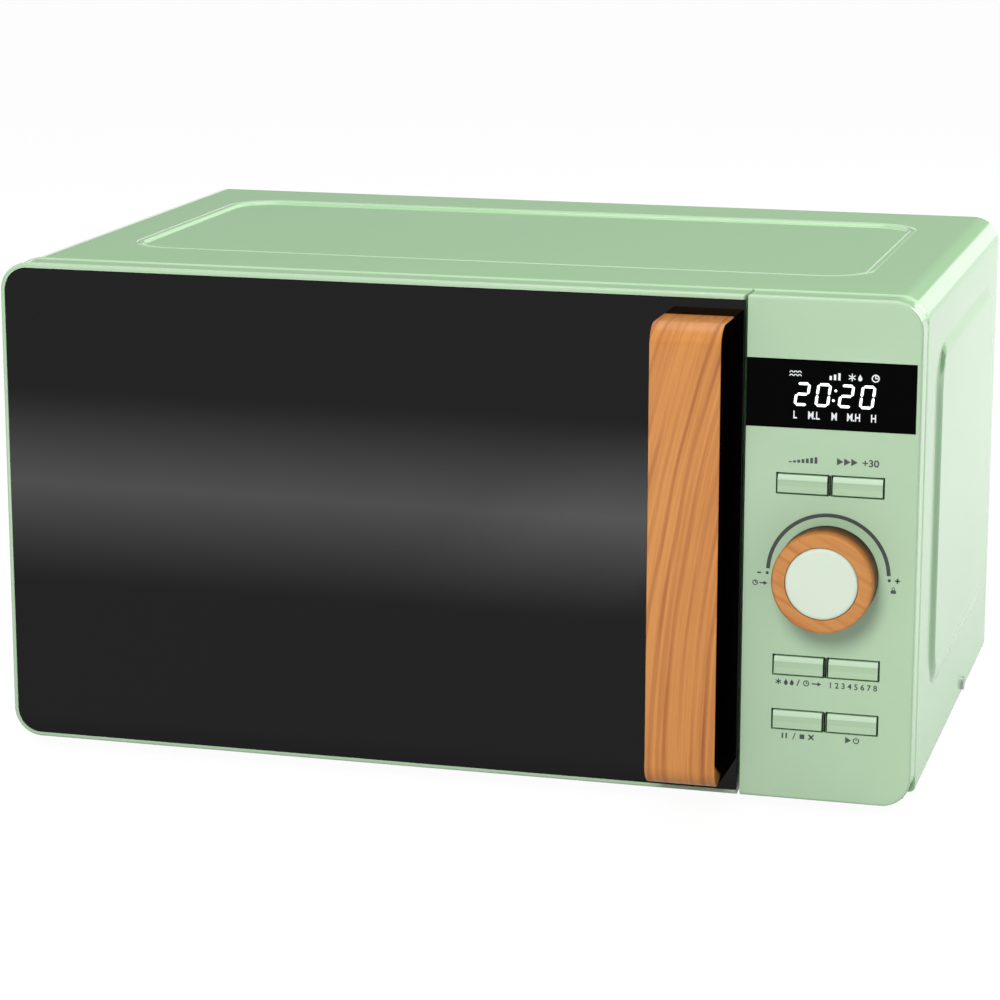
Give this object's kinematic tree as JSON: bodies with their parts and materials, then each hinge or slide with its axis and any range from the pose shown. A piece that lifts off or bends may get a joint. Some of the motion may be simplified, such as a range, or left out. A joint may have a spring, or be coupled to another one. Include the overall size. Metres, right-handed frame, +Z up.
{
  "type": "countertop microwave oven",
  "caption": "Mint green countertop microwave with a black glass door, wooden bail handle, rotary knob, push buttons and a turntable inside.",
  "frame": {"origin": "centre of the bounding box at floor level", "axes": "+X to the right seen from the front, +Y to the back, +Z up"},
  "size_m": [0.4548, 0.331, 0.248],
  "materials": {
    "mint_paint": "satin",
    "mint_plastic": "satin",
    "zinc_sheet": "plain",
    "cavity_enamel": "satin",
    "mica": "matte",
    "grey_plastic": "matte",
    "white_plastic": "matte",
    "clear_glass": "polished",
    "copper": "lacquered wire",
    "aluminium": "plain",
    "ferrite": "matte",
    "core_steel": "varnished",
    "black_plastic": "matte",
    "circuit_board": "satin",
    "rubber_black": "matte",
    "black_glass": "polished",
    "screen_steel": "perforated",
    "smoked_window": "polished",
    "spring_steel": "plain",
    "beech_wood": "oiled"
  },
  "bodies": {
    "oven": {"cabinet": "mint_paint", "base_plate": "zinc_sheet", "rear_panel": "mint_paint", "oven_cavity": "cavity_enamel", "waveguide": "zinc_sheet", "waveguide_cover": "mica", "turntable_motor": "zinc_sheet", "magnetron_frame": "zinc_sheet", "magnetron_anode": "copper", "magnetron_fins": "aluminium", "magnetron_magnets": "ferrite", "transformer_core": "core_steel", "transformer_coils": "copper", "capacitor": "aluminium", "capacitor_clamp": "zinc_sheet", "diode": "black_plastic", "fan_shroud": "grey_plastic", "fan_motor": "core_steel", "lamp_holder": "white_plastic", "oven_lamp": "clear_glass", "thermostats": "black_plastic", "filter_board": "circuit_board", "cord_gland": "rubber_black", "latch_bracket": "white_plastic", "interlock_switches": "black_plastic", "upper_hinge": "zinc_sheet", "lower_hinge": "zinc_sheet", "control_panel": "mint_plastic", "display_window": "black_glass", "display_module": "grey_plastic", "control_board": "circuit_board", "encoder": "zinc_sheet", "feet": "rubber_black", "cabinet_screws": "spring_steel"},
    "door": {"door_frame": "mint_plastic", "door_glass": "black_glass", "door_choke": "zinc_sheet", "door_screen": "screen_steel", "choke_cover": "black_plastic", "inner_window": "smoked_window", "latch_spring": "spring_steel", "handle": "beech_wood", "handle_screws": "spring_steel"},
    "latch": {"latch_hook": "white_plastic"},
    "knob": {"encoder_shaft": "aluminium", "knob_ring": "beech_wood", "knob_cap": "mint_plastic"},
    "push_button_1": {"button_1": "mint_plastic"},
    "push_button_2": {"button_2": "mint_plastic"},
    "push_button_3": {"button_3": "mint_plastic"},
    "push_button_4": {"button_4": "mint_plastic"},
    "push_button_5": {"button_5": "mint_plastic"},
    "push_button_6": {"button_6": "mint_plastic"},
    "turntable_drive": {"turntable_coupler": "grey_plastic"},
    "tray": {"glass_tray": "clear_glass"},
    "ring": {"roller_ring": "white_plastic"},
    "wheel_1": {"roller_1": "grey_plastic"},
    "wheel_2": {"roller_2": "grey_plastic"},
    "wheel_3": {"roller_3": "grey_plastic"},
    "fan": {"fan_blade": "black_plastic"}
  },
  "joints": [
    {"name": "door_hinge", "type": "hinge", "parent": "oven", "child": "door", "pos_m": [-0.217, -0.1265, 0.128], "axis": [0, 0, -1], "range_deg": [0, 100]},
    {"name": "latch_slide", "type": "slide", "parent": "door", "child": "latch", "axis": [0, 0, 1], "range_m": [0, 0.003], "stiffness_N_per_m": 400, "springref_m": -0.003, "deforming": ["latch_spring"]},
    {"name": "knob_turn", "type": "hinge", "parent": "oven", "child": "knob", "pos_m": [0.18495, -0.1355, 0.1185], "axis": [0, 1, 0], "continuous": true},
    {"name": "button_1_press", "type": "slide", "parent": "oven", "child": "push_button_1", "axis": [0, 1, 0], "range_m": [0, 0.0008], "stiffness_N_per_m": 1500, "springref_m": -0.0004},
    {"name": "button_2_press", "type": "slide", "parent": "oven", "child": "push_button_2", "axis": [0, 1, 0], "range_m": [0, 0.0008], "stiffness_N_per_m": 1500, "springref_m": -0.0004},
    {"name": "button_3_press", "type": "slide", "parent": "oven", "child": "push_button_3", "axis": [0, 1, 0], "range_m": [0, 0.0008], "stiffness_N_per_m": 1500, "springref_m": -0.0004},
    {"name": "button_4_press", "type": "slide", "parent": "oven", "child": "push_button_4", "axis": [0, 1, 0], "range_m": [0, 0.0008], "stiffness_N_per_m": 1500, "springref_m": -0.0004},
    {"name": "button_5_press", "type": "slide", "parent": "oven", "child": "push_button_5", "axis": [0, 1, 0], "range_m": [0, 0.0008], "stiffness_N_per_m": 1500, "springref_m": -0.0004},
    {"name": "button_6_press", "type": "slide", "parent": "oven", "child": "push_button_6", "axis": [0, 1, 0], "range_m": [0, 0.0008], "stiffness_N_per_m": 1500, "springref_m": -0.0004},
    {"name": "turntable_turn", "type": "hinge", "parent": "oven", "child": "turntable_drive", "pos_m": [-0.0484, 0.024, 0.041], "axis": [0, 0, 1], "continuous": true},
    {"name": "tray_lift", "type": "slide", "parent": "turntable_drive", "child": "tray", "axis": [0, 0, 1], "range_m": [0, 0.04]},
    {"name": "ring_turn", "type": "hinge", "parent": "oven", "child": "ring", "pos_m": [-0.0484, 0.024, 0.034], "axis": [0, 0, 1], "continuous": true},
    {"name": "wheel_1_turn", "type": "hinge", "parent": "ring", "child": "wheel_1", "pos_m": [0.0436, 0.024, 0.034], "axis": [1, 0, 0], "continuous": true},
    {"name": "wheel_2_turn", "type": "hinge", "parent": "ring", "child": "wheel_2", "pos_m": [-0.0944, 0.10367, 0.034], "axis": [-0.5, 0.866, 0], "continuous": true},
    {"name": "wheel_3_turn", "type": "hinge", "parent": "ring", "child": "wheel_3", "pos_m": [-0.0944, -0.05567, 0.034], "axis": [-0.5, -0.866, 0], "continuous": true},
    {"name": "fan_turn", "type": "hinge", "parent": "oven", "child": "fan", "pos_m": [0.1655, 0.1345, 0.16], "axis": [0, -1, 0], "continuous": true}
  ],
  "couplings": [
    {"joint": "ring_turn", "follows": "turntable_turn", "ratio": 0.5},
    {"joint": "wheel_1_turn", "follows": "turntable_turn", "ratio": -6.8657},
    {"joint": "wheel_2_turn", "follows": "turntable_turn", "ratio": -6.8657},
    {"joint": "wheel_3_turn", "follows": "turntable_turn", "ratio": -6.8657}
  ]
}
